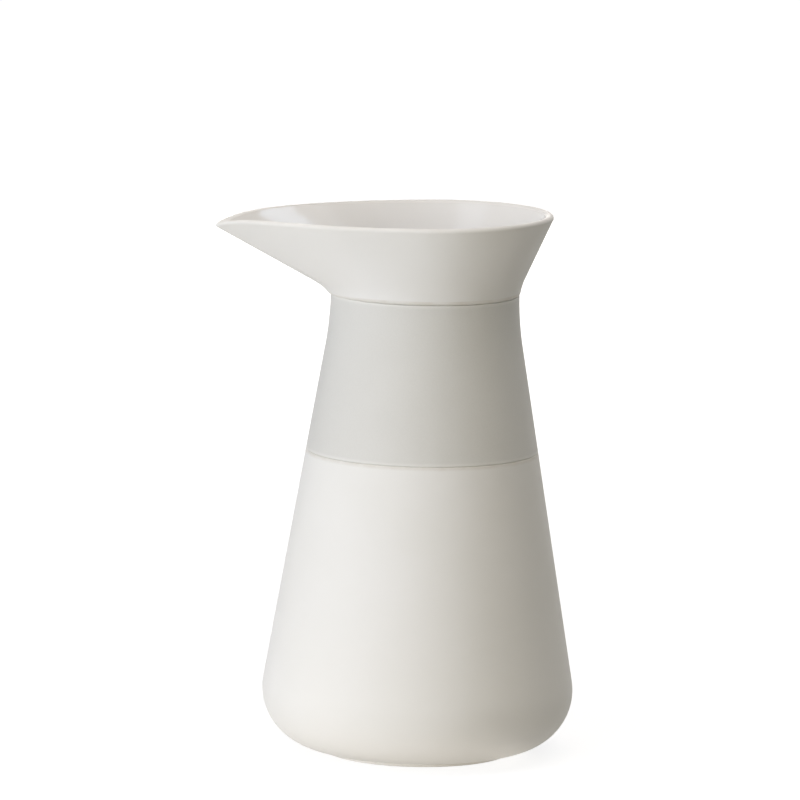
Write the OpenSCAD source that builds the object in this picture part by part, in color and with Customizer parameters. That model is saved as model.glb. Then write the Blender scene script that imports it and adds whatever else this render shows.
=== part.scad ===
// Hot milk jug with a lid, in millimetres.
// A stoneware vessel narrows to a neck and opens again in a flared collar with a pointed spout.
// A silicone grip sleeve fills a recess round the neck, flush with the stoneware.
// A stoneware lid with a silicone seal rests on a ledge inside the neck and lifts straight out.
// +Z is up, the origin is the centre of the foot on the table, and the spout points to -X.

/* [Body] */
// Largest diameter of the body, low on its side
body_d = 90; // [80:1:110]
// Radius of the round between the underside and the side
base_round_r = 16.8; // [8:0.2:20]
// Wall thickness, square to the side
wall_t = 5; // [4:0.1:7]
// Thickness of the floor
floor_t = 5; // [3:0.5:9]
// Radius of the round inside, between the floor and the side
inner_round_r = 10; // [4:0.5:14]

/* [Foot] */
// Height of the foot ring under the body
foot_h = 1.3; // [0.6:0.1:2]
// Step in from the flat underside to the foot ring
foot_inset = 0.6; // [0.2:0.1:2]
// Width of the foot ring
foot_w = 4; // [2.5:0.5:8]

/* [Neck and grip sleeve] */
// Height of the collar's lower edge above the table
collar_z = 133.7; // [115:0.1:150]
// Diameter of the neck at its narrowest, over the sleeve
neck_d = 54.4; // [50:0.2:62]
// Depth of the narrowest point below the collar
neck_drop = 0.6; // [0:0.1:5]
// Radius of the hollow curve from the side into the neck
neck_round_r = 88; // [50:1:110]
// Height of the recess that the sleeve sits in
recess_h = 45.7; // [30:0.1:60]
// Thickness of the sleeve
sleeve_t = 2; // [1.2:0.1:2.6]
// Open seam above and below the sleeve
sleeve_seam = 0.15; // [0.1:0.05:0.6]
// Clearance between the sleeve and the neck inside it
sleeve_clear = 0.1; // [0.05:0.05:0.3]
// Radius on the edges beside the two seams
seam_edge_r = 0.3; // [0.2:0.1:0.9]

/* [Collar and spout] */
// Height of the collar at the back
collar_h = 23.4; // [18:0.1:30]
// Radius of the rim round the back
rim_r = 35.3; // [32:0.1:42]
// Distance of that round's centre behind the axis
rim_shift = 1.4; // [0:0.1:6]
// Reach of the spout's tip from the axis
spout_reach = 60.6; // [52:0.2:70]
// Radius of the spout's tip, seen from above
spout_tip_r = 4; // [3:0.1:7]
// Angle from the back at which the sides leave the round
spout_start = 95; // [92:1:110]
// Height that the rim loses from its back to the tip
rim_fall = 1.6; // [0:0.1:4]
// Depth that the tip dips below the line of the rim
spout_dip = 2.6; // [0:0.1:4]
// Height over which the flare bends out of the neck
flare_root_h = 8; // [4:0.1:12]
// Depth below the collar's edge at which that bend would begin
flare_drop = 2.4; // [0:0.1:3]
// Thickness of the lip
lip_t = 2.4; // [2.1:0.1:2.8]
// Radius on the lip's edges
lip_round_r = 0.7; // [0.4:0.1:1]

/* [Lid] */
// Width of the ledge that the lid rests on
ledge_w = 2; // [1.2:0.1:2.6]
// Height of the ledge above the collar's lower edge
ledge_rise = 2; // [1.5:0.1:4]
// Side clearance of the lid in the collar
lid_clear = 0.5; // [0.3:0.1:1]
// Thickness of the lid's plate
plate_t = 3; // [2.6:0.1:5]
// Radius on the plate's upper edge
plate_round_r = 1.5; // [0.5:0.1:2.2]
// Depth of the plug below the ledge
plug_h = 7; // [5.5:0.5:12]
// Side clearance of the plug in the neck
plug_clear = 1; // [0.6:0.1:2]
// Diameter of the knob
knob_d = 14; // [12:0.5:18]
// Diameter of the knob's waist
knob_waist_d = 8.4; // [6:0.2:10]
// Radius of the hollow round the knob's waist
knob_hollow_r = 3; // [2.4:0.1:4]
// Radius on the knob's edge
knob_edge_r = 1.4; // [0.8:0.1:2]

/* [Lid seal] */
// Height of the seal
seal_h = 3; // [2:0.1:4]
// Depth of the groove that the seal sits in
groove_depth = 1.6; // [1:0.1:2.4]
// Clearance between the seal and the neck's bore
seal_clear = 0.3; // [0.1:0.05:0.5]
// Clearance of the seal in its groove
seal_fit = 0.05; // [0.02:0.01:0.1]

/* [Hidden] */

$fn = 96;
arc_steps = 24;
edge_steps = 4;
lip_steps = 6;
root_steps = 8;
outline_steps = 96;
dip_power = 10;

cream = [0.90, 0.89, 0.86];
grey = [0.74, 0.74, 0.72];

// The side is a straight line, tangent to the base round below and to the neck's hollow curve above.
base_c = [body_d / 2 - base_round_r, foot_h + base_round_r];
neck_z = collar_z - neck_drop;
neck_c = [neck_d / 2 + neck_round_r, neck_z];
span = neck_c - base_c;
side_lean = atan2(span.y, span.x) - acos((base_round_r + neck_round_r) / norm(span));
side_normal = [cos(side_lean), sin(side_lean)];
side_offset = base_c * side_normal + base_round_r;

foot_r = base_c.x - foot_inset;
floor_z = foot_h + floor_t;
inner_c_z = floor_z + inner_round_r;
inner_c = [(side_offset - wall_t - inner_round_r - inner_c_z * side_normal.y) / side_normal.x, inner_c_z];

recess_t = sleeve_t + sleeve_clear;
recess_z = collar_z - recess_h;
bore_r = neck_d / 2 - wall_t;
ledge_z = collar_z + ledge_rise;

rim_z = collar_z + collar_h;
rim_back = rim_r + rim_shift;
flare_z = collar_z - flare_drop;
edge_z = collar_z + seam_edge_r;
root_share = flare_root_h / (rim_z - flare_z);
edge_bend_share = (edge_z - flare_z) / flare_root_h;
collar_r = side_r(collar_z, 0);
mouth_r = bore_r + ledge_w;

// The rim's outline is made of arcs: the round back, two long sides and the small tip.
back_c = [rim_shift, 0];
tip_x = spout_reach - spout_tip_r;
tip_run = tip_x + rim_shift;
tip_gap = rim_r - spout_tip_r;
long_shift = (tip_run * tip_run - tip_gap * tip_gap) / (2 * (tip_gap + tip_run * cos(spout_start)));
long_r = rim_r + long_shift;
long_c = back_c - long_shift * [cos(spout_start), sin(spout_start)];
tip_start = atan2(-long_c.y, -tip_x - long_c.x);
headings = [for (i = [0:outline_steps - 1]) 360 * i / outline_steps];

lid_r = mouth_r - lid_clear;
plate_z = ledge_z + plate_t;
plug_r = bore_r - plug_clear;
plug_z = ledge_z - plug_h;
groove_r = plug_r - groove_depth;
groove_z = ledge_z - plug_h / 2 - seal_h / 2;
seal_r = bore_r - seal_clear;

// The hollow round the knob's waist and the round on its edge are two arcs that touch.
hollow_c = [knob_waist_d / 2 + knob_hollow_r, plate_z + knob_hollow_r];
knob_edge_x = knob_d / 2 - knob_edge_r;
knob_turn = acos((knob_edge_x - hollow_c.x) / (knob_hollow_r + knob_edge_r));
knob_edge_c = [knob_edge_x, hollow_c.y + (knob_hollow_r + knob_edge_r) * sin(knob_turn)];

// Points on an arc about c, from angle a0 to angle a1.
function arc(c, r, a0, a1, steps) =
    [for (i = [0:steps]) let (a = a0 + (a1 - a0) * i / steps) c + r * [cos(a), sin(a)]];

// Height at which the side, moved in by depth, runs into the neck's curve.
function curve_z(depth) = neck_z - (neck_round_r + depth) * side_normal.y;

// Radius of the side at height z, moved in square to itself by depth.
function side_r(z, depth) = z < curve_z(depth)
    ? (side_offset - depth - z * side_normal.y) / side_normal.x
    : neck_c.x - sqrt(pow(neck_round_r + depth, 2) - pow(z - neck_z, 2));

// Angle of the side's outward normal above the horizon at height z.
function side_angle(z, depth) = z < curve_z(depth) ? side_lean : asin((neck_z - z) / (neck_round_r + depth));

// Points up the neck's curve to z1, from where the straight side runs into it.
function neck_points(z1, depth) =
    arc(neck_c, neck_round_r + depth, 180 + side_lean, 180 + side_angle(z1, depth), arc_steps);

// Rounded outer corners at height z: the lower corner of a piece above z, or the upper corner of one below.
function lower_corner(z) = let (c_z = z + seam_edge_r)
    arc([side_r(c_z, seam_edge_r), c_z], seam_edge_r, -90, side_angle(c_z, seam_edge_r), edge_steps);
function upper_corner(z) = let (c_z = z - seam_edge_r)
    arc([side_r(c_z, seam_edge_r), c_z], seam_edge_r, side_angle(c_z, seam_edge_r), 90, edge_steps);

function reversed(points) = [for (i = [len(points) - 1:-1:0]) points[i]];
function rest(points) = [for (i = [1:len(points) - 1]) points[i]];

function heading(a) = [cos(a), sin(a)];

// Centre and radius of the rim's arc whose outward normal points to angle a, from 0 at the back.
function rim_side(a) = a > 180 ? -1 : 1;
function rim_turn(a) = a > 180 ? 360 - a : a;
function rim_centre(a) = let (t = rim_turn(a))
    t < spout_start ? back_c : t < tip_start ? [long_c.x, rim_side(a) * long_c.y] : [-tip_x, 0];
function rim_radius(a) = let (t = rim_turn(a)) t < spout_start ? rim_r : t < tip_start ? long_r : spout_tip_r;

// Height of the rim at angle a, which falls in a line from its back and dips at the tip.
function rim_height(a) =
    let (
        p = rim_centre(a) + rim_radius(a) * heading(a),
        fall_share = (rim_back - p.x) / (rim_back + spout_reach),
        dip_share = pow(max(0, -p.x) / spout_reach, dip_power))
    rim_z - rim_fall * fall_share - spout_dip * dip_share;

// Height and inset of a point on the lip's round, at angle t above the horizon.
function lip_height(a, t) = rim_height(a) - lip_round_r * (1 - sin(t));
function lip_inset(t) = lip_round_r * (1 - cos(t));

// Slope of the flare's straight part at angle a, in degrees from upright: it rises to the rim from radius r
// and height z.
function flare_slope(a, r, z, inset) =
    let (
        reach = rim_centre(a) * heading(a) + rim_radius(a) - inset,
        rise = (lip_height(a, 0) - z) * (1 - root_share / 2))
    atan((reach - r) / rise);
function outer_slope(a) = flare_slope(a, collar_r, flare_z, 0);
function inner_slope(a) = flare_slope(a, mouth_r, ledge_z, lip_t);

// Slope of the flare at the collar's edge, and the height at which the edge's round runs into it.
function edge_slope(a) = atan(tan(outer_slope(a)) * edge_bend_share);
function edge_end_z(a) = edge_z - seam_edge_r * sin(edge_slope(a));

// Opening of the flare at a share of its height: a curved start over the root, then straight.
function flare_share(h) = h < root_share
    ? h * h / (2 * root_share) / (1 - root_share / 2)
    : (h - root_share / 2) / (1 - root_share / 2);

// Point of the collar at angle a and height z, opened by share from a circle of radius r to the inset rim.
function collar_point(a, z, share, r, inset) =
    let (
        ring_r = (1 - share) * r + share * (rim_radius(a) - inset),
        p = share * rim_centre(a) + ring_r * heading(a))
    [p.x, p.y, z];

// Height of the outer flare's end at angle a, and the share of that height at z.
function outer_end_z(a) = lip_height(a, -outer_slope(a));
function outer_h(a, z) = (z - flare_z) / (outer_end_z(a) - flare_z);

// Point of the collar's outside at angle a and height z, moved in from the flare at a share h of its height.
function outer_point(a, z, h, inset) =
    collar_point(a, z, flare_share(h), collar_r - inset, lip_inset(-outer_slope(a)) + inset);

// Rings of the collar: up its outside, over the lip, down its inside and back into the neck's wall.
function edge_ring(share) = [for (a = headings)
    let (
        t = (90 - edge_slope(a)) * share - 90,
        inset = seam_edge_r * (cos(edge_slope(a)) - cos(t)))
    outer_point(a, edge_z + seam_edge_r * sin(t), outer_h(a, edge_end_z(a)), inset)];
function outer_ring(share) = [for (a = headings)
    let (
        low = outer_h(a, edge_end_z(a)),
        h = low + (root_share - low) * share)
    outer_point(a, flare_z + h * (outer_end_z(a) - flare_z), h, 0)];
function outer_lip_ring(share) = [for (a = headings)
    let (t = 90 * share - outer_slope(a) * (1 - share))
    collar_point(a, lip_height(a, t), 1, collar_r, lip_inset(t))];
function inner_lip_ring(share) = [for (a = headings)
    let (t = 90 * (1 - share) + inner_slope(a) * share)
    collar_point(a, lip_height(a, t), 1, mouth_r, lip_t - lip_inset(t))];
function inner_ring(h) = [for (a = headings)
    let (t = inner_slope(a), z = ledge_z + h * (lip_height(a, t) - ledge_z))
    collar_point(a, z, flare_share(h), mouth_r, lip_t - lip_inset(t))];
function wall_ring(z) = [for (a = headings) collar_point(a, z, 0, mouth_r, 0)];

collar_rings = concat(
    [for (i = [0:edge_steps]) edge_ring(i / edge_steps)],
    [for (i = [1:root_steps]) outer_ring(i / root_steps)],
    [for (i = [0:lip_steps]) outer_lip_ring(i / lip_steps)],
    [for (i = [0:lip_steps]) inner_lip_ring(i / lip_steps)],
    [for (i = [root_steps:-1:0]) inner_ring(root_share * i / root_steps)],
    [wall_ring(collar_z)]);

// Closed skin over rings of equal length, the last ring joined back to the first.
module ring_skin(rings) {
    count = len(rings);
    steps = len(rings[0]);
    points = [for (ring = rings) each ring];
    faces = [for (i = [0:count - 1], j = [0:steps - 1])
        let (
            near = i * steps,
            far = ((i + 1) % count) * steps,
            k = (j + 1) % steps)
        each [[near + j, far + j, far + k], [near + j, far + k, near + k]]];
    polyhedron(points = points, faces = faces);
}

// Wall of the vessel from the foot up to the ledge, as a half section.
module vessel_section() {
    polygon(concat(
        [[0, foot_h], [foot_r - foot_w, foot_h], [foot_r - foot_w, 0], [foot_r, 0], [foot_r, foot_h]],
        arc(base_c, base_round_r, -90, side_lean, arc_steps),
        upper_corner(recess_z),
        [[side_r(recess_z, recess_t), recess_z]],
        neck_points(collar_z, recess_t),
        [[side_r(collar_z, recess_t), ledge_z], [bore_r, ledge_z]],
        reversed(neck_points(neck_z, wall_t)),
        reversed(arc(inner_c, inner_round_r, -90, side_lean, arc_steps)),
        [[0, floor_z]]));
}

module jug_vessel() {
    color(cream) {
        rotate_extrude() vessel_section();
        ring_skin(collar_rings);
    }
}

module grip_sleeve() {
    low_z = recess_z + sleeve_seam;
    high_z = collar_z - sleeve_seam;
    color(grey) rotate_extrude() polygon(concat(
        lower_corner(low_z),
        neck_points(high_z - seam_edge_r, 0),
        upper_corner(high_z),
        reversed(neck_points(high_z, sleeve_t)),
        [[side_r(low_z, sleeve_t), low_z]]));
}

module lid() {
    plate_edge_c = [lid_r - plate_round_r, plate_z - plate_round_r];
    groove_top_z = groove_z + seal_h;
    color(cream) rotate_extrude() polygon(concat(
        [[0, plug_z], [plug_r, plug_z], [plug_r, groove_z], [groove_r, groove_z]],
        [[groove_r, groove_top_z], [plug_r, groove_top_z], [plug_r, ledge_z], [lid_r, ledge_z]],
        arc(plate_edge_c, plate_round_r, 0, 90, edge_steps),
        arc(hollow_c, knob_hollow_r, 270, knob_turn, arc_steps),
        rest(arc(knob_edge_c, knob_edge_r, knob_turn - 180, 90, arc_steps)),
        [[0, knob_edge_c.y + knob_edge_r]]));
}

module lid_seal() {
    low_z = groove_z + seal_fit;
    high_z = groove_z + seal_h - seal_fit;
    lip_r = (high_z - low_z) / 2;
    color(grey) rotate_extrude() polygon(concat(
        [[groove_r + seal_fit, high_z], [groove_r + seal_fit, low_z]],
        arc([seal_r - lip_r, low_z + lip_r], lip_r, -90, 90, arc_steps)));
}

jug_vessel();
grip_sleeve();
lid();
lid_seal();
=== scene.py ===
"""Looks of the hot milk jug: smooth glazed and silicone pieces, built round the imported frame.

Sizes are in millimetres and angles in radians until a mesh is made, which is in metres.
The jug's axis is Z and the spout points to -X. A heading is an angle round Z, 0 at the jug's back.
"""

import math

import bpy
from mathutils import Matrix, Vector


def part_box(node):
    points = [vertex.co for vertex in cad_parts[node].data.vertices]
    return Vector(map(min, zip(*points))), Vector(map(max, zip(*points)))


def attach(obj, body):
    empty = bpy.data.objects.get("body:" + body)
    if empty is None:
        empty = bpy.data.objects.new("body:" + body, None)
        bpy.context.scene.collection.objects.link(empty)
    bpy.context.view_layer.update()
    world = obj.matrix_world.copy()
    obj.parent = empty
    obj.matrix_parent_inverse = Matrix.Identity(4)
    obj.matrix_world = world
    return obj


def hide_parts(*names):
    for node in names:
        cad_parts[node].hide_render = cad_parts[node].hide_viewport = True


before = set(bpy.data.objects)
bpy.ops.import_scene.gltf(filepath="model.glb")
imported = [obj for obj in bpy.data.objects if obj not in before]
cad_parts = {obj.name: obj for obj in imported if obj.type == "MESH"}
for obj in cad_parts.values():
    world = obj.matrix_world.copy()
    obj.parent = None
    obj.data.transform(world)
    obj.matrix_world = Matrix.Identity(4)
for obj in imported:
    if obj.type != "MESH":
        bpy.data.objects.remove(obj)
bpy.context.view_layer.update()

MM = 0.001
SEGMENTS = 240
HEADINGS = [2 * math.pi * i / SEGMENTS for i in range(SEGMENTS)]
RUN_STEP = 2.5
ROUND_STEPS = 6
CURVE_STEPS = 40
ROOT_STEPS = 12
FLARE_STEPS = 14
LIP_STEPS = 10
POLE_R = 1e-6
UP = math.pi / 2

# Sizes that the frame gives

vessel_low, vessel_high = (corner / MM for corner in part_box("jug_vessel"))
sleeve_low, sleeve_high = (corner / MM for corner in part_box("grip_sleeve"))
_, lid_high = (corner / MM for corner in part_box("lid"))
seal_low, seal_high = (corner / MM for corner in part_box("lid_seal"))
body_r = vessel_high.y
rim_z = vessel_high.z
spout_reach = -vessel_low.x
lid_r = lid_high.y
seal_r = seal_high.y

# Sizes of the vessel

BASE_ROUND_R = 16.8
WALL_T = 5
FLOOR_T = 5
INNER_ROUND_R = 10
FOOT_H = 1.3
FOOT_INSET = 0.6
FOOT_W = 4
FOOT_EDGE_R = 0.45
FOOT_ROOT_R = 0.3
BARE_H = 0.1
NECK_R = 27.2
NECK_DROP = 0.6
NECK_ROUND_R = 88
SLEEVE_T = 2
SLEEVE_SEAM = 0.15
SLEEVE_CLEAR = 0.1
UPPER_SEAM_SHOWN = 0.06
LOWER_SEAM_SHOWN = 0.04
SLEEVE_EDGE_R = 0.2
SHOULDER_EDGE_R = 0.7
COLLAR_EDGE_R = 1.4
EDGE_TURN = math.radians(58)
EDGE_BAND = 0.8
INNER_EDGE_R = 0.25
RIM_R = 35.3
RIM_SHIFT = 1.4
RIM_FALL = 1.6
SPOUT_TIP_R = 4
SPOUT_START = math.radians(95)
SPOUT_DIP = 2.6
DIP_POWER = 10
FLARE_ROOT_H = 8
FLARE_DROP = 2.4
LIP_T = 2.4
TIP_LIP_GAIN = 1.4
LIP_ROUND_R = 0.7
OUTER_LIP_R = 1.0
INNER_LIP_R = 1.4
LEDGE_W = 2
LEDGE_RISE = 2
LEDGE_EDGE_R = 0.4

# Sizes of the lid and its seal

PLATE_T = 3
PLATE_ROUND_R = 1.5
PLATE_FOOT_R = 0.4
PLUG_H = 7
PLUG_CLEAR = 1
PLUG_EDGE_R = 0.8
GROOVE_DEPTH = 1.6
GROOVE_EDGE_R = 0.2
SEAL_H = 3
SEAL_FIT = 0.05
SEAL_INNER_R = 0.3
KNOB_R = 7
KNOB_WAIST_R = 4.2
KNOB_HOLLOW_R = 3
KNOB_EDGE_R = 1.4

# Sizes that follow

collar_z = sleeve_high.z + SLEEVE_SEAM
recess_z = sleeve_low.z - SLEEVE_SEAM
recess_t = SLEEVE_T + SLEEVE_CLEAR
neck_z = collar_z - NECK_DROP
base_c = Vector((body_r - BASE_ROUND_R, FOOT_H + BASE_ROUND_R))
neck_c = Vector((NECK_R + NECK_ROUND_R, neck_z))
span = neck_c - base_c
side_lean = math.atan2(span.y, span.x) - math.acos((BASE_ROUND_R + NECK_ROUND_R) / span.length)
side_normal = Vector((math.cos(side_lean), math.sin(side_lean)))
side_offset = base_c.dot(side_normal) + BASE_ROUND_R

foot_r = base_c.x - FOOT_INSET
floor_z = FOOT_H + FLOOR_T
bore_r = NECK_R - WALL_T
mouth_r = bore_r + LEDGE_W
ledge_z = collar_z + LEDGE_RISE
rim_back = RIM_R + RIM_SHIFT
flare_z = collar_z - FLARE_DROP
shoulder_z = sleeve_low.z - LOWER_SEAM_SHOWN
collar_low_z = sleeve_high.z + UPPER_SEAM_SHOWN
edge_z = collar_low_z + COLLAR_EDGE_R * math.sin(EDGE_TURN)
root_share = FLARE_ROOT_H / (rim_z - flare_z)
edge_bend_share = (edge_z - flare_z) / FLARE_ROOT_H


def arc(centre, radius, start, end, steps):
    """Points on an arc about centre, from angle start to angle end."""
    angles = [start + (end - start) * i / steps for i in range(steps + 1)]
    return [Vector(centre) + radius * Vector((math.cos(a), math.sin(a))) for a in angles]


def curve_z(depth):
    """Height at which the straight side, moved in by depth, runs into the neck's hollow curve."""
    return neck_z - (NECK_ROUND_R + depth) * side_normal.y


def side_r(z, depth):
    """Radius of the side at height z, moved in square to itself by depth."""
    if z < curve_z(depth):
        return (side_offset - depth - z * side_normal.y) / side_normal.x
    return neck_c.x - math.sqrt((NECK_ROUND_R + depth) ** 2 - (z - neck_z) ** 2)


def side_angle(z, depth):
    """Angle of the side's outward normal above the horizon at height z."""
    if z < curve_z(depth):
        return side_lean
    return math.asin((neck_z - z) / (NECK_ROUND_R + depth))


def side_points(low, high, depth):
    """Points up the side from one height to another, moved in by depth."""
    count = math.ceil((high - low) / RUN_STEP)
    heights = [low + (high - low) * i / count for i in range(count + 1)]
    return [Vector((side_r(z, depth), z)) for z in heights]


def lower_corner(z, radius):
    """Round on the outer lower edge of a piece that starts at height z."""
    c_z = z + radius
    centre = (side_r(c_z, radius), c_z)
    return arc(centre, radius, -UP, side_angle(c_z, radius), ROUND_STEPS)


def upper_corner(z, radius, turn):
    """Round on the outer upper edge of a piece that ends at height z, up to the angle turn."""
    c_z = z - radius * math.sin(turn)
    centre = (side_r(c_z, radius), c_z)
    return arc(centre, radius, side_angle(c_z, radius), turn, ROUND_STEPS)


def rounded(corners):
    """Points along a line of corners (x, z, radius), with rounds on it and long runs divided."""
    points = [Vector(corners[0][:2])]
    for before, corner, after in zip(corners, corners[1:], corners[2:]):
        at = Vector(corner[:2])
        back = (Vector(before[:2]) - at).normalized()
        ahead = (Vector(after[:2]) - at).normalized()
        half = back.angle(ahead) / 2
        reach = corner[2] / math.tan(half)
        centre = at + (back + ahead).normalized() * corner[2] / math.sin(half)
        from_c = at + back * reach - centre
        turn = math.pi - 2 * half
        side = 1 if back.cross(ahead) < 0 else -1
        first = math.atan2(from_c.y, from_c.x)
        points += divided(points.pop(), centre + from_c)[:-1]
        points += arc(centre, corner[2], first, first + side * turn, ROUND_STEPS)
    points += divided(points.pop(), Vector(corners[-1][:2]))
    return points


def divided(start, end):
    """Points along a straight run, a step apart."""
    count = max(1, math.ceil((end - start).length / RUN_STEP))
    return [start.lerp(end, i / count) for i in range(count + 1)]


# The rim's outline: a round back, two long sides and a small tip, all arcs

back_c = Vector((RIM_SHIFT, 0))
tip_x = spout_reach - SPOUT_TIP_R
tip_run = tip_x + RIM_SHIFT
tip_gap = RIM_R - SPOUT_TIP_R
long_shift = (tip_run**2 - tip_gap**2) / (2 * (tip_gap + tip_run * math.cos(SPOUT_START)))
long_r = RIM_R + long_shift
long_c = back_c - long_shift * Vector((math.cos(SPOUT_START), math.sin(SPOUT_START)))
tip_start = math.atan2(-long_c.y, -tip_x - long_c.x)


def towards(a):
    """Unit vector that points to heading a."""
    return Vector((math.cos(a), math.sin(a)))


def rim_arc(a):
    """Centre and radius of the rim's arc whose outward normal points to heading a."""
    turn = 2 * math.pi - a if a > math.pi else a
    if turn < SPOUT_START:
        return back_c, RIM_R
    if turn < tip_start:
        return Vector((long_c.x, -long_c.y if a > math.pi else long_c.y)), long_r
    return Vector((-tip_x, 0)), SPOUT_TIP_R


def rim_x(a):
    """Place of the rim along the spout's line at heading a."""
    centre, radius = rim_arc(a)
    return (centre + radius * towards(a)).x


def spout_share(a):
    """How far along the spout the rim is at heading a: 0 behind the axis, 1 at the tip."""
    return max(0, -rim_x(a)) / spout_reach


def rim_height(a):
    """Height of the rim at heading a, which falls in a line from its back and dips at the tip."""
    fall_share = (rim_back - rim_x(a)) / (rim_back + spout_reach)
    return rim_z - RIM_FALL * fall_share - SPOUT_DIP * spout_share(a) ** DIP_POWER


def lip_height(a, t, radius):
    """Height of the lip's round at angle t above the horizon."""
    return rim_height(a) - radius * (1 - math.sin(t))


def lip_inset(t, radius):
    """How far in from the rim the lip's round is at angle t above the horizon."""
    return radius * (1 - math.cos(t))


def lip_t(a):
    """Thickness of the lip at heading a, which is more at the tip."""
    return LIP_T + TIP_LIP_GAIN * spout_share(a) ** DIP_POWER


def lip_round(a, radius):
    """Radius of a round on the lip at heading a, which tightens along the spout."""
    return radius + (LIP_ROUND_R - radius) * spout_share(a)


collar_r = side_r(collar_z, 0)


def flare_slope(a, radius, z, inset):
    """Slope from upright of a flare at heading a that rises from that radius and height."""
    centre, rim_radius = rim_arc(a)
    reach = centre.dot(towards(a)) + rim_radius - inset
    rise = (lip_height(a, 0, LIP_ROUND_R) - z) * (1 - root_share / 2)
    return math.atan((reach - radius) / rise)


def outer_slope(a):
    """Slope of the collar's outside at heading a."""
    return flare_slope(a, collar_r, flare_z, 0)


def inner_slope(a):
    """Slope of the collar's inside at heading a."""
    return flare_slope(a, mouth_r, ledge_z, lip_t(a))


def edge_slope(a):
    """Slope of the flare at the collar's lower edge."""
    return math.atan(math.tan(outer_slope(a)) * edge_bend_share)


def flare_share(h):
    """Opening of the flare at a share of its height: a curved root, then straight."""
    if h < root_share:
        return h * h / (2 * root_share) / (1 - root_share / 2)
    return (h - root_share / 2) / (1 - root_share / 2)


def collar_point(a, z, share, radius, inset):
    """Point of the collar at heading a, opened by share from a circle to the inset rim."""
    centre, rim_radius = rim_arc(a)
    p = share * centre + ((1 - share) * radius + share * (rim_radius - inset)) * towards(a)
    return Vector((p.x, p.y, z))


def outer_end_z(a):
    """Height at which the outside ends at heading a, where the lip's round starts."""
    return lip_height(a, -outer_slope(a), LIP_ROUND_R)


def outer_point(a, z, h, inset):
    """Point of the collar's outside at height z, moved in from the flare at its share h."""
    lip = lip_inset(-outer_slope(a), LIP_ROUND_R)
    return collar_point(a, z, flare_share(h), collar_r - inset, lip + inset)


def edge_h(a):
    """Share of the flare's height at which the round on the collar's lower edge runs into it."""
    return (edge_z - COLLAR_EDGE_R * math.sin(edge_slope(a)) - flare_z) / (outer_end_z(a) - flare_z)


def collar_edge(share):
    """Ring of the round on the collar's lower edge."""
    ring = []
    for a in HEADINGS:
        slope = edge_slope(a)
        t = (EDGE_TURN - slope) * share - EDGE_TURN
        inset = COLLAR_EDGE_R * (math.cos(slope) - math.cos(t))
        ring.append(outer_point(a, edge_z + COLLAR_EDGE_R * math.sin(t), edge_h(a), inset))
    return ring


def outer_root(share):
    """Ring of the flare's bend, from the collar's edge at 0 to where the flare is straight at 1."""
    ring = []
    for a in HEADINGS:
        h = edge_h(a) + (root_share - edge_h(a)) * share
        ring.append(outer_point(a, flare_z + h * (outer_end_z(a) - flare_z), h, 0))
    return ring


def outer_flare(share):
    """Ring of the flare's straight part, from the end of its bend at 0 to the lip's round at 1."""
    ring = []
    for a in HEADINGS:
        end_z = lip_height(a, -outer_slope(a), lip_round(a, OUTER_LIP_R))
        end_h = (end_z - flare_z) / (outer_end_z(a) - flare_z)
        h = root_share + (end_h - root_share) * share
        ring.append(outer_point(a, flare_z + h * (outer_end_z(a) - flare_z), h, 0))
    return ring


def inner_point(a, h):
    """Point of the collar's inside at a share h of its height."""
    t = inner_slope(a)
    z = ledge_z + h * (lip_height(a, t, LIP_ROUND_R) - ledge_z)
    return collar_point(a, z, flare_share(h), mouth_r, lip_t(a) - lip_inset(t, LIP_ROUND_R))


def inner_root(h):
    """Ring of the inside's bend at a share h of its height."""
    return [inner_point(a, h) for a in HEADINGS]


def inner_flare(share):
    """Ring of the inside's straight part, from the end of its bend at 0 to the lip's round at 1."""
    ring = []
    for a in HEADINGS:
        t = inner_slope(a)
        rise = lip_height(a, t, LIP_ROUND_R) - ledge_z
        end_h = (lip_height(a, t, lip_round(a, INNER_LIP_R)) - ledge_z) / rise
        ring.append(inner_point(a, root_share + (end_h - root_share) * share))
    return ring


def outer_lip(share):
    """Ring of the lip's outer round, which touches the flare and the lip's top."""
    ring = []
    for a in HEADINGS:
        slope = outer_slope(a)
        radius = lip_round(a, OUTER_LIP_R)
        edge = (radius - LIP_ROUND_R) * (math.tan((UP + slope) / 2) - 1)
        t = UP * share - slope * (1 - share)
        inset = edge + lip_inset(t, radius)
        ring.append(collar_point(a, lip_height(a, t, radius), 1, collar_r, inset))
    return ring


def inner_lip(share):
    """Ring of the lip's inner round, which touches the lip's top and the inside."""
    ring = []
    for a in HEADINGS:
        slope = inner_slope(a)
        radius = lip_round(a, INNER_LIP_R)
        middle = lip_t(a) - LIP_ROUND_R - (radius - LIP_ROUND_R) * math.tan((UP - slope) / 2)
        t = UP * (1 - share) + slope * share
        inset = middle + radius * math.cos(t)
        ring.append(collar_point(a, lip_height(a, t, radius), 1, mouth_r, inset))
    return ring


def revolved(points):
    """Rings round the axis, one for each point (radius, height). A point on the axis is a pole."""
    rings = []
    for p in points:
        if p.x < POLE_R:
            rings.append([Vector((0, 0, p.y))])
        else:
            rings.append([Vector((p.x * math.cos(a), p.x * math.sin(a), p.y)) for a in HEADINGS])
    return rings


# Meshes


class Skin:
    """Rings in order, each with its share of painted edge light and shade (thinner glaze on the
    lip) and the finish of the band that leads to it.
    """

    def __init__(self):
        self.rings = []
        self.finishes = []
        self.painted_light_and_thinning = []

    def add(self, rings, finish=0, painted_light_and_thinning=0.0):
        """Adds rings that share a finish and a share of painted edge light and shade."""
        for ring in rings:
            self.rings.append(ring)
            self.finishes.append(finish)
            self.painted_light_and_thinning.append(painted_light_and_thinning)


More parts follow.
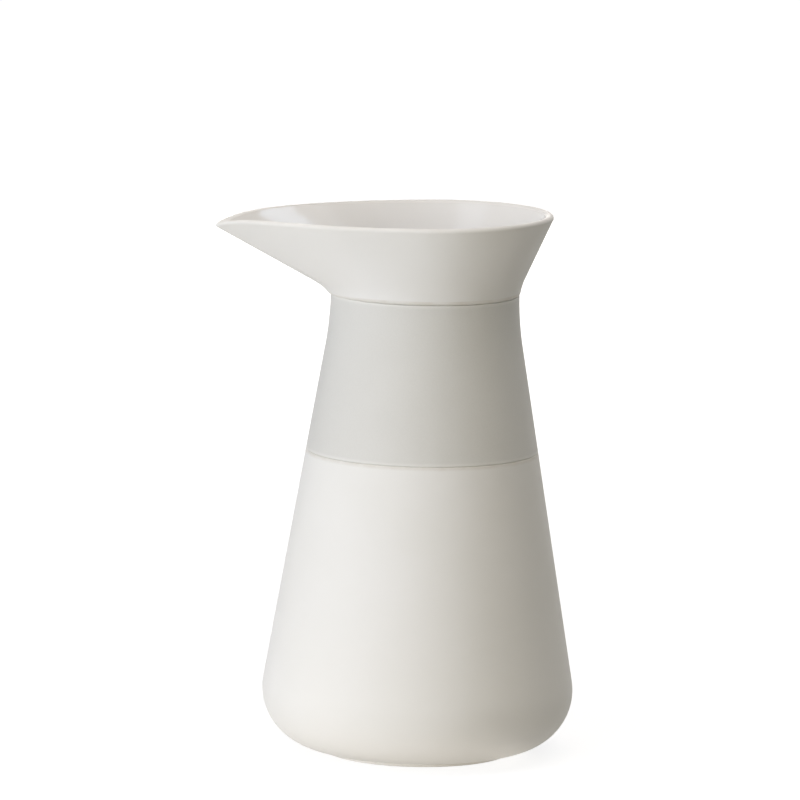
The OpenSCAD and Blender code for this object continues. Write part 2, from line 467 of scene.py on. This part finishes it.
def make_piece(name, skin, materials, closed=False):
    """Smooth mesh over the skin's rings, in metres, with the painted edge light and shade as a
    value on its points.
    """
    points = [p * MM for ring in skin.rings for p in ring]
    starts = [sum(len(r) for r in skin.rings[:i]) for i in range(len(skin.rings))]
    faces = []
    finishes = []
    count = len(skin.rings)
    for i in range(count if closed else count - 1):
        j = (i + 1) % count
        near, far = starts[i], starts[j]
        for k in range(SEGMENTS):
            n = (k + 1) % SEGMENTS
            if len(skin.rings[i]) == 1:
                faces.append((near, far + n, far + k))
            elif len(skin.rings[j]) == 1:
                faces.append((near + k, near + n, far))
            else:
                faces.append((near + k, near + n, far + n, far + k))
            finishes.append(skin.finishes[j])
    mesh = bpy.data.meshes.new(name)
    mesh.from_pydata(points, [], faces)
    for material in materials:
        mesh.materials.append(material)
    mesh.polygons.foreach_set("material_index", finishes)
    mesh.polygons.foreach_set("use_smooth", [True] * len(faces))
    painted_light_and_thinning = mesh.attributes.new("edge_painted_light_and_thinning", "FLOAT", "POINT")
    painted_light_and_thinning.data.foreach_set("value", [w for ring, w in zip(skin.rings, skin.painted_light_and_thinning) for _ in ring])
    mesh.validate()
    mesh.update()
    piece = bpy.data.objects.new(name, mesh)
    bpy.context.scene.collection.objects.link(piece)
    return piece


def place(piece, node, body):
    """Puts a piece on its body, in the place of a CAD node, which it hides."""
    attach(piece, body)
    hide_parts(node)


# Materials


class Nodes:
    """A material's node tree, with short calls to add and join nodes."""

    def __init__(self, name):
        self.material = bpy.data.materials.new(name)
        self.material.use_nodes = True
        self.tree = self.material.node_tree
        self.tree.nodes.clear()

    def add(self, kind, **settings):
        """Adds a node and sets its properties."""
        node = self.tree.nodes.new(kind)
        for key, value in settings.items():
            setattr(node, key, value)
        return node

    def join(self, output, target):
        """Links an output to an input."""
        self.tree.links.new(output, target)

    def noise(self, scale, detail=2.0, roughness=0.5):
        """Noise over the object's own coordinates, with scale in features to the metre."""
        node = self.add("ShaderNodeTexNoise")
        node.inputs["Scale"].default_value = scale
        node.inputs["Detail"].default_value = detail
        node.inputs["Roughness"].default_value = roughness
        self.join(self.coordinates(), node.inputs["Vector"])
        return node.outputs["Fac"]

    def coordinates(self):
        """The object's own coordinates, from one node for the whole tree."""
        found = [n for n in self.tree.nodes if n.bl_idname == "ShaderNodeTexCoord"]
        node = found[0] if found else self.add("ShaderNodeTexCoord")
        return node.outputs["Object"]

    def spread(self, value, low, high, start=0.3, end=0.7):
        """Value mapped from start and end, the usual span of noise, to low and high."""
        node = self.add("ShaderNodeMapRange")
        node.inputs["From Min"].default_value = start
        node.inputs["From Max"].default_value = end
        node.inputs["To Min"].default_value = low
        node.inputs["To Max"].default_value = high
        self.join(value, node.inputs["Value"])
        return node.outputs["Result"]

    def mix(self, factor, first, second):
        """Colour between two colours, each a socket or a plain colour."""
        node = self.add("ShaderNodeMix", data_type="RGBA")
        self.join(factor, node.inputs["Factor"])
        for key, colour in (("A", first), ("B", second)):
            socket = next(s for s in node.inputs if s.name == key and s.type == "RGBA")
            if isinstance(colour, tuple):
                socket.default_value = colour
            else:
                self.join(colour, socket)
        return next(s for s in node.outputs if s.type == "RGBA")

    def scaled(self, value, factor):
        """Value times a factor, which is a socket or a plain number."""
        node = self.add("ShaderNodeMath", operation="MULTIPLY")
        self.join(value, node.inputs[0])
        if isinstance(factor, float):
            node.inputs[1].default_value = factor
        else:
            self.join(factor, node.inputs[1])
        return node.outputs[0]

    def bump(self, height, distance, strength, after=None):
        """Bump of that depth, in millimetres, on top of another bump."""
        node = self.add("ShaderNodeBump")
        node.inputs["Distance"].default_value = distance * MM
        node.inputs["Strength"].default_value = strength
        self.join(height, node.inputs["Height"])
        if after:
            self.join(after, node.inputs["Normal"])
        return node.outputs["Normal"]

    def surface(self, **values):
        """Principled surface with plain values on its own sockets, joined to the output."""
        shader = self.add("ShaderNodeBsdfPrincipled")
        for key, value in values.items():
            shader.inputs[key.replace("_", " ")].default_value = value
        output = self.add("ShaderNodeOutputMaterial")
        self.join(shader.outputs["BSDF"], output.inputs["Surface"])
        return shader


def srgb(red, green, blue):
    """Colour as the renderer takes it, from 0 to 255 values on a screen, by the sRGB curve."""
    shares = [c / 255 for c in (red, green, blue)]
    linear = [s / 12.92 if s < 0.04045 else ((s + 0.055) / 1.055) ** 2.4 for s in shares]
    return (*linear, 1.0)


CREAM = srgb(231, 230, 227)
CREAM_PALE = srgb(234, 233, 231)
CREAM_WARM = srgb(228, 226, 220)
# Painted shade on the glaze's edges beside the sleeve; on the lip, thinner glaze
CREAM_EDGE_SHADE_AND_THIN_GLAZE = srgb(212, 207, 197)
CLAY = srgb(214, 205, 188)
CLAY_DARK = srgb(198, 187, 168)
GREY = srgb(211, 210, 206)
GREY_PALE = srgb(215, 214, 210)
GREY_DARK = srgb(204, 202, 197)
# Painted highlight on the silicone's edges
GREY_PAINTED_HIGHLIGHT = srgb(224, 223, 219)

# Noise in the materials, in features to the metre, and the depth of its bumps in millimetres

GLAZE_CLOUDS = 38
GLAZE_DRIFT = 11
GLAZE_EDGES = 240
GLAZE_PATCHES = 70
GLAZE_WAVES = 130
GLAZE_WAVE_DEPTH = 0.05
GLAZE_GRAIN = 1500
GLAZE_GRAIN_DEPTH = 0.01
CLAY_GRIT = 2600
CLAY_GRIT_DEPTH = 0.06
CLAY_PATCHES = 900
SILICONE_CLOUDS = 26
SILICONE_GRAIN = 2200
SILICONE_GRAIN_DEPTH = 0.03
SILICONE_PATCHES = 90

# Shares of painted edge light and shade that a ring of a piece can have; on the lip the share
# stands for thinner glaze

FULL_PAINTED_LIGHT = 1.0
LIP_WEAR = 0.1
SEAL_PAINTED_HIGHLIGHT = 0.5


def glaze(name, roughness, specular, peel):
    """Cream glaze: clouded by the firing, with painted shade that darkens and warms the edges
    beside the sleeve and thinner glaze on the lip, and a faint orange peel.
    """
    n = Nodes(name)
    shader = n.surface(IOR=1.5, Specular_IOR_Level=specular)
    clouds = n.spread(n.noise(GLAZE_CLOUDS, detail=3), low=0, high=1)
    drift = n.spread(n.noise(GLAZE_DRIFT), low=0, high=0.45)
    colour = n.mix(clouds, CREAM, CREAM_PALE)
    colour = n.mix(drift, colour, CREAM_WARM)
    edge = n.add("ShaderNodeAttribute", attribute_name="edge_painted_light_and_thinning")
    shade_and_thin = n.scaled(edge.outputs["Fac"], n.spread(n.noise(GLAZE_EDGES), low=0.25, high=0.6))
    # Painted shade: the edges beside the sleeve darker and warmer; on the lip, a faint tone of
    # thinner glaze
    colour = n.mix(shade_and_thin, colour, CREAM_EDGE_SHADE_AND_THIN_GLAZE)
    n.join(colour, shader.inputs["Base Color"])
    n.join(n.spread(n.noise(GLAZE_PATCHES, detail=3), *roughness), shader.inputs["Roughness"])
    wave = n.bump(n.noise(GLAZE_WAVES, detail=1), GLAZE_WAVE_DEPTH, peel)
    grain = n.bump(n.noise(GLAZE_GRAIN), GLAZE_GRAIN_DEPTH, peel, after=wave)
    n.join(grain, shader.inputs["Normal"])
    return n.material


def bare_clay(name):
    """Unglazed stoneware on the foot, ground flat and a little speckled."""
    n = Nodes(name)
    shader = n.surface(Specular_IOR_Level=0.25)
    specks = n.spread(n.noise(CLAY_GRIT, roughness=0.7), low=0, high=1)
    n.join(n.mix(specks, CLAY, CLAY_DARK), shader.inputs["Base Color"])
    n.join(n.spread(n.noise(CLAY_PATCHES), low=0.75, high=0.9), shader.inputs["Roughness"])
    grit = n.noise(CLAY_GRIT, detail=3, roughness=0.7)
    n.join(n.bump(grit, CLAY_GRIT_DEPTH, strength=0.6), shader.inputs["Normal"])
    return n.material


def silicone(name):
    """Matt silicone: a fine spark-eroded grain, faintly clouded, with a painted highlight that
    makes its edges paler.
    """
    n = Nodes(name)
    shader = n.surface(IOR=1.41, Specular_IOR_Level=0.55, Sheen_Weight=0.15, Sheen_Roughness=0.5)
    clouds = n.spread(n.noise(SILICONE_CLOUDS, detail=3), low=0, high=1)
    colour = n.mix(clouds, GREY, GREY_PALE)
    grain = n.noise(SILICONE_GRAIN, detail=3, roughness=0.6)
    colour = n.mix(n.spread(grain, low=0, high=0.3), colour, GREY_DARK)
    edge = n.add("ShaderNodeAttribute", attribute_name="edge_painted_light_and_thinning")
    # Painted highlight: edges paler
    colour = n.mix(n.scaled(edge.outputs["Fac"], 0.9), colour, GREY_PAINTED_HIGHLIGHT)
    n.join(colour, shader.inputs["Base Color"])
    patches = n.noise(SILICONE_PATCHES, detail=3)
    n.join(n.spread(patches, low=0.62, high=0.74), shader.inputs["Roughness"])
    n.join(n.bump(grain, SILICONE_GRAIN_DEPTH, strength=0.5), shader.inputs["Normal"])
    return n.material


satin_glaze = glaze("satin_glaze", roughness=(0.48, 0.58), specular=0.06, peel=0.5)
gloss_glaze = glaze("gloss_glaze", roughness=(0.08, 0.13), specular=0.7, peel=0.35)
foot_clay = bare_clay("foot_clay")
sleeve_silicone = silicone("sleeve_silicone")
seal_silicone = silicone("seal_silicone")

# The vessel, from the middle of its underside round to the middle of its floor

SATIN, GLOSS, BARE = 0, 1, 2

vessel = Skin()
foot_in = foot_r - FOOT_W
foot = rounded([
    (0, FOOT_H, 0),
    (foot_in, FOOT_H, FOOT_ROOT_R),
    (foot_in, 0, FOOT_EDGE_R),
    (foot_r, 0, FOOT_EDGE_R),
    (foot_r, FOOT_H, FOOT_ROOT_R),
    (base_c.x, FOOT_H, 0),
])
bare_from = next(i for i, p in enumerate(foot) if p.y < BARE_H)
bare_to = max(i for i, p in enumerate(foot) if p.y < BARE_H)
vessel.add(revolved(foot[:bare_from]), SATIN)
vessel.add(revolved(foot[bare_from:bare_to + 1]), BARE, FULL_PAINTED_LIGHT)
vessel.add(revolved(foot[bare_to + 1:]), SATIN)
vessel.add(revolved(arc(base_c, BASE_ROUND_R, -UP, side_lean, CURVE_STEPS)[1:]))
shoulder = upper_corner(shoulder_z, SHOULDER_EDGE_R, EDGE_TURN)
side_start = base_c.y + BASE_ROUND_R * side_normal.y
vessel.add(revolved(side_points(side_start, shoulder[0].y - EDGE_BAND, 0)[1:]))
# Painted shade on the shoulder's round under the sleeve
vessel.add(revolved(shoulder), SATIN, FULL_PAINTED_LIGHT)
recess = rounded([
    (shoulder[-1].x, shoulder_z, 0),
    (side_r(shoulder_z, recess_t), shoulder_z, INNER_EDGE_R),
    (side_r(recess_z + RUN_STEP, recess_t), recess_z + RUN_STEP, 0),
])
vessel.add(revolved(recess[1:]))
vessel.add(revolved(side_points(recess_z + RUN_STEP, collar_z - RUN_STEP, recess_t)[1:]))
collar_under = rounded([
    (side_r(collar_z - RUN_STEP, recess_t), collar_z - RUN_STEP, 0),
    (side_r(collar_low_z, recess_t), collar_low_z, INNER_EDGE_R),
    (collar_r - SLEEVE_T / 2, collar_low_z, 0),
])
vessel.add(revolved(collar_under[1:]))
edge_shares = [i / ROUND_STEPS for i in range(ROUND_STEPS + 1)]
# Painted shade on the collar's lower edge above the sleeve
vessel.add([collar_edge(s) for s in edge_shares], SATIN, FULL_PAINTED_LIGHT)
root_shares = [i / ROOT_STEPS for i in range(1, ROOT_STEPS + 1)]
flare_shares = [i / FLARE_STEPS for i in range(1, FLARE_STEPS)]
vessel.add([outer_root(s) for s in root_shares])
vessel.add([outer_flare(s) for s in flare_shares])
lip_shares = [i / LIP_STEPS for i in range(LIP_STEPS + 1)]
vessel.add([outer_lip(s) for s in lip_shares], SATIN, LIP_WEAR)
vessel.add([inner_lip(s) for s in lip_shares], SATIN, LIP_WEAR)
vessel.add([inner_flare(s) for s in reversed(flare_shares)], GLOSS)
root_heights = [root_share * s for s in root_shares]
inner_heights = [h for h in root_heights if h * (rim_z - ledge_z) > LEDGE_EDGE_R]
vessel.add([inner_root(h) for h in reversed(inner_heights)], GLOSS)
ledge = rounded([
    (mouth_r, ledge_z + LEDGE_EDGE_R, 0),
    (mouth_r, ledge_z, INNER_EDGE_R),
    (bore_r, ledge_z, LEDGE_EDGE_R),
    (bore_r, neck_z, 0),
])
vessel.add(revolved(ledge), GLOSS)
inner_c_z = floor_z + INNER_ROUND_R
inner_offset = side_offset - WALL_T - INNER_ROUND_R
inner_c = Vector(((inner_offset - inner_c_z * side_normal.y) / side_normal.x, inner_c_z))
inner_round = arc(inner_c, INNER_ROUND_R, side_lean, -UP, CURVE_STEPS)
inside = side_points(inner_round[0].y, neck_z, WALL_T)
vessel.add(revolved(reversed(inside[1:-1])), GLOSS)
vessel.add(revolved(inner_round), GLOSS)
vessel.add(revolved(divided(inner_round[-1], Vector((0, floor_z)))[1:]), GLOSS)
vessel_piece = make_piece("vessel", vessel, [satin_glaze, gloss_glaze, foot_clay])
place(vessel_piece, "jug_vessel", "jug")

# The grip sleeve in its recess

sleeve = Skin()
low_corner = lower_corner(sleeve_low.z, SLEEVE_EDGE_R)
high_corner = upper_corner(sleeve_high.z, SLEEVE_EDGE_R, UP)
# Painted highlight on the sleeve's lower and upper rounded edges
sleeve.add(revolved(low_corner), painted_light_and_thinning=FULL_PAINTED_LIGHT)
sleeve.add(revolved(side_points(low_corner[-1].y + EDGE_BAND, high_corner[0].y - EDGE_BAND, 0)))
sleeve.add(revolved(high_corner), painted_light_and_thinning=FULL_PAINTED_LIGHT)
back_high = sleeve_high.z - RUN_STEP
back_low = sleeve_low.z + RUN_STEP
sleeve_top = rounded([
    (high_corner[-1].x, sleeve_high.z, 0),
    (side_r(sleeve_high.z, SLEEVE_T), sleeve_high.z, INNER_EDGE_R),
    (side_r(back_high, SLEEVE_T), back_high, 0),
])
sleeve.add(revolved(sleeve_top[1:]))
sleeve.add(revolved(reversed(side_points(back_low, back_high, SLEEVE_T)[:-1])))
sleeve_foot = rounded([
    (side_r(back_low, SLEEVE_T), back_low, 0),
    (side_r(sleeve_low.z, SLEEVE_T), sleeve_low.z, INNER_EDGE_R),
    (low_corner[0].x, sleeve_low.z, 0),
])
sleeve.add(revolved(sleeve_foot[1:-1]))
sleeve_piece = make_piece("sleeve", sleeve, [sleeve_silicone], closed=True)
place(sleeve_piece, "grip_sleeve", "jug")

# The lid: plug with a groove, plate and knob

plug_z = ledge_z - PLUG_H
plate_z = ledge_z + PLATE_T
plug_r = bore_r - PLUG_CLEAR
groove_r = plug_r - GROOVE_DEPTH
groove_z = ledge_z - PLUG_H / 2 - SEAL_H / 2
groove_top = groove_z + SEAL_H
hollow_c = Vector((KNOB_WAIST_R + KNOB_HOLLOW_R, plate_z + KNOB_HOLLOW_R))
knob_edge_x = KNOB_R - KNOB_EDGE_R
knob_turn = math.acos((knob_edge_x - hollow_c.x) / (KNOB_HOLLOW_R + KNOB_EDGE_R))
knob_edge_z = hollow_c.y + (KNOB_HOLLOW_R + KNOB_EDGE_R) * math.sin(knob_turn)
knob_edge_c = Vector((knob_edge_x, knob_edge_z))

lid = Skin()
plug = rounded([
    (0, plug_z, 0),
    (plug_r, plug_z, PLUG_EDGE_R),
    (plug_r, groove_z, GROOVE_EDGE_R),
    (groove_r, groove_z, GROOVE_EDGE_R),
    (groove_r, groove_top, GROOVE_EDGE_R),
    (plug_r, groove_top, GROOVE_EDGE_R),
    (plug_r, ledge_z, INNER_EDGE_R),
    (lid_r, ledge_z, PLATE_FOOT_R),
    (lid_r, plate_z, PLATE_ROUND_R),
    (hollow_c.x, plate_z, 0),
])
lid.add(revolved(plug))
lid.add(revolved(arc(hollow_c, KNOB_HOLLOW_R, 3 * UP, knob_turn, CURVE_STEPS)[1:]))
knob_edge = arc(knob_edge_c, KNOB_EDGE_R, knob_turn - 2 * UP, UP, CURVE_STEPS)
lid.add(revolved(knob_edge[1:]))
knob_top = knob_edge[-1]
lid.add(revolved(divided(knob_top, Vector((0, knob_top.y)))[1:]))
lid_piece = make_piece("lid_top", lid, [satin_glaze])
place(lid_piece, "lid", "lid")

# The seal ring in the plug's groove

seal = Skin()
seal_round_r = (seal_high.z - seal_low.z) / 2
seal_c = (seal_r - seal_round_r, seal_low.z + seal_round_r)
seal_back = groove_r + SEAL_FIT
seal_round = arc(seal_c, seal_round_r, -UP, UP, CURVE_STEPS // 2)
# Painted highlight on the seal's round
seal.add(revolved(seal_round), painted_light_and_thinning=SEAL_PAINTED_HIGHLIGHT)
seal_rest = rounded([
    (seal_round[-1].x, seal_high.z, 0),
    (seal_back, seal_high.z, SEAL_INNER_R),
    (seal_back, seal_low.z, SEAL_INNER_R),
    (seal_round[0].x, seal_low.z, 0),
])
seal.add(revolved(seal_rest[1:-1]))
seal_piece = make_piece("seal_ring", seal, [seal_silicone], closed=True)
place(seal_piece, "lid_seal", "lid")

# Floor and world: white to the camera, and the floor keeps a faint shadow

FLOOR_SIDE = 12
FLOOR_GLOW_NEAR = 0.83
FLOOR_GLOW_FAR = 1.0
GLOW_NEAR = 0.1
GLOW_FAR = 0.6
FLOOR_SHADE = 0.3
FLOOR_BOUNCE = 0.5
AMBIENT = (0.02, 0.02, 0.02, 1.0)


def background_rays(nodes):
    """1 for the rays that see a plain white background: from the camera, a mirror or glass."""
    path = nodes.add("ShaderNodeLightPath")
    total = path.outputs["Is Camera Ray"]
    for name in ("Is Glossy Ray", "Is Transmission Ray"):
        node = nodes.add("ShaderNodeMath", operation="MAXIMUM")
        nodes.join(total, node.inputs[0])
        nodes.join(path.outputs[name], node.inputs[1])
        total = node.outputs[0]
    return total


def floor_material():
    """White to the camera and darker in shadow, with painted shade in a glow that is weaker near
    the jug, and a plain grey to the light that bounces.
    """
    n = Nodes("white_floor")
    bounce = n.add("ShaderNodeBsdfDiffuse")
    bounce.inputs["Color"].default_value = (FLOOR_BOUNCE, FLOOR_BOUNCE, FLOOR_BOUNCE, 1)
    shade = n.add("ShaderNodeBsdfDiffuse")
    shade.inputs["Color"].default_value = (FLOOR_SHADE, FLOOR_SHADE, FLOOR_SHADE, 1)
    glow = n.add("ShaderNodeEmission")
    away = n.add("ShaderNodeVectorMath", operation="LENGTH")
    n.join(n.coordinates(), away.inputs[0])
    # Painted shade round the jug: the floor glows less near it, so the shadow shows there and the
    # far floor stays white
    strength = n.spread(away.outputs["Value"], FLOOR_GLOW_NEAR, FLOOR_GLOW_FAR, GLOW_NEAR, GLOW_FAR)
    n.join(strength, glow.inputs["Strength"])
    seen = n.add("ShaderNodeAddShader")
    n.join(glow.outputs[0], seen.inputs[0])
    n.join(shade.outputs[0], seen.inputs[1])
    mixed = n.add("ShaderNodeMixShader")
    n.join(background_rays(n), mixed.inputs["Fac"])
    n.join(bounce.outputs[0], mixed.inputs[1])
    n.join(seen.outputs[0], mixed.inputs[2])
    output = n.add("ShaderNodeOutputMaterial")
    n.join(mixed.outputs[0], output.inputs["Surface"])
    return n.material


def make_floor():
    """Square floor that the jug stands on."""
    half = FLOOR_SIDE / 2
    corners = [(-half, -half, 0), (half, -half, 0), (half, half, 0), (-half, half, 0)]
    mesh = bpy.data.meshes.new("floor")
    mesh.from_pydata(corners, [], [(0, 1, 2, 3)])
    mesh.materials.append(floor_material())
    floor = bpy.data.objects.new("floor", mesh)
    bpy.context.scene.collection.objects.link(floor)


class WorldNodes(Nodes):
    """The world's node tree, with the same short calls."""

    def __init__(self):
        self.world = bpy.data.worlds.new("studio")
        self.world.use_nodes = True
        self.tree = self.world.node_tree
        self.tree.nodes.clear()


def make_world():
    """World that is white to the camera and gives a little even light."""
    n = WorldNodes()
    ambient = n.add("ShaderNodeBackground")
    ambient.inputs["Color"].default_value = AMBIENT
    white = n.add("ShaderNodeBackground")
    white.inputs["Color"].default_value = (1, 1, 1, 1)
    mixed = n.add("ShaderNodeMixShader")
    n.join(background_rays(n), mixed.inputs["Fac"])
    n.join(ambient.outputs[0], mixed.inputs[1])
    n.join(white.outputs[0], mixed.inputs[2])
    output = n.add("ShaderNodeOutputWorld")
    n.join(mixed.outputs[0], output.inputs["Surface"])
    bpy.context.scene.world = n.world


make_floor()
make_world()

# Lamps: soft boxes on a sphere round the jug, and lamps that lie on the floor

AIM = Vector((0, 0, 0.08))
LAMP_DISTANCE = 1.2
TABLE_LIFT = 0.0001


def aimed(location, target):
    """Turn that points a lamp or a camera from a location to a target."""
    return (target - location).to_track_quat("-Z", "Y").to_matrix().to_4x4()


def area_lamp(name, shape, watts, colour, location, facing):
    """Area lamp that the camera doesn't see."""
    lamp = bpy.data.lights.new(name, "AREA")
    lamp.shape = shape
    lamp.energy = watts
    lamp.color = colour
    holder = bpy.data.objects.new(name, lamp)
    holder.matrix_world = Matrix.Translation(location) @ facing
    holder.visible_camera = False
    bpy.context.scene.collection.objects.link(holder)
    return holder


def softbox(name, azimuth, elevation, size, watts, colour):
    """Lamp aimed at the jug. Azimuth 0 is the camera's side, and positive is to its right."""
    turn, rise = math.radians(azimuth), math.radians(elevation)
    level = math.cos(rise)
    away = Vector((math.sin(turn) * level, -math.cos(turn) * level, math.sin(rise)))
    location = AIM + LAMP_DISTANCE * away
    holder = area_lamp(name, "RECTANGLE", watts, colour, location, aimed(location, AIM))
    holder.data.size, holder.data.size_y = size


def light_table(name, centre, radius, watts, colour):
    """Round lamp on the floor that faces up, for the light that a bright table throws back."""
    face_up = Matrix.Rotation(math.pi, 4, "X")
    holder = area_lamp(name, "DISK", watts, colour, (*centre, TABLE_LIFT), face_up)
    holder.data.size = 2 * radius
    holder.visible_glossy = False


softbox("key_left", azimuth=-59, elevation=6, size=(0.5, 0.8),
        watts=8.4, colour=(0.83, 0.89, 1.0))
softbox("key_front", azimuth=-31, elevation=3, size=(0.5, 0.5),
        watts=7.0, colour=(1.0, 0.96, 0.86))
softbox("fill_right", azimuth=66, elevation=4, size=(0.5, 0.5),
        watts=1.6, colour=(1.0, 0.94, 0.66))
softbox("top", azimuth=0, elevation=88, size=(1.2, 1.2),
        watts=9.9, colour=(1.0, 0.92, 0.86))
softbox("back", azimuth=180, elevation=8, size=(0.5, 0.5),
        watts=4.0, colour=(1.0, 0.96, 0.9))
softbox("high_left", azimuth=-56, elevation=45, size=(0.5, 0.5),
        watts=0.7, colour=(0.8, 0.87, 1.0))
softbox("high_right", azimuth=114, elevation=53, size=(0.32, 0.35),
        watts=1.1, colour=(0.74, 0.85, 1.0))
softbox("high_side", azimuth=85, elevation=54, size=(0.4, 0.35),
        watts=0.4, colour=(0.97, 0.98, 1.0))
light_table("table", centre=(-0.041, -0.018), radius=0.075,
            watts=0.0185, colour=(1.0, 0.93, 0.84))
light_table("table_right", centre=(0.057, -0.028), radius=0.035,
            watts=0.0014, colour=(1.0, 0.95, 0.86))

# Camera, fitted to the outline in the photo

CAMERA_AIM = Vector((-0.00665, 0, 0.1023))
CAMERA_DISTANCE = 2.2
CAMERA_RISE = math.radians(8.6)
CAMERA_ROLL = math.radians(1.106)
LENS = 343.2

camera_away = Vector((0, -math.cos(CAMERA_RISE), math.sin(CAMERA_RISE)))
camera_place = CAMERA_AIM + CAMERA_DISTANCE * camera_away
camera = bpy.data.objects.new("camera", bpy.data.cameras.new("camera"))
camera.data.lens = LENS
roll = Matrix.Rotation(CAMERA_ROLL, 4, "Z")
camera.matrix_world = Matrix.Translation(camera_place) @ aimed(camera_place, CAMERA_AIM) @ roll
bpy.context.scene.collection.objects.link(camera)
bpy.context.scene.camera = camera
bpy.context.scene.view_settings.view_transform = "Standard"
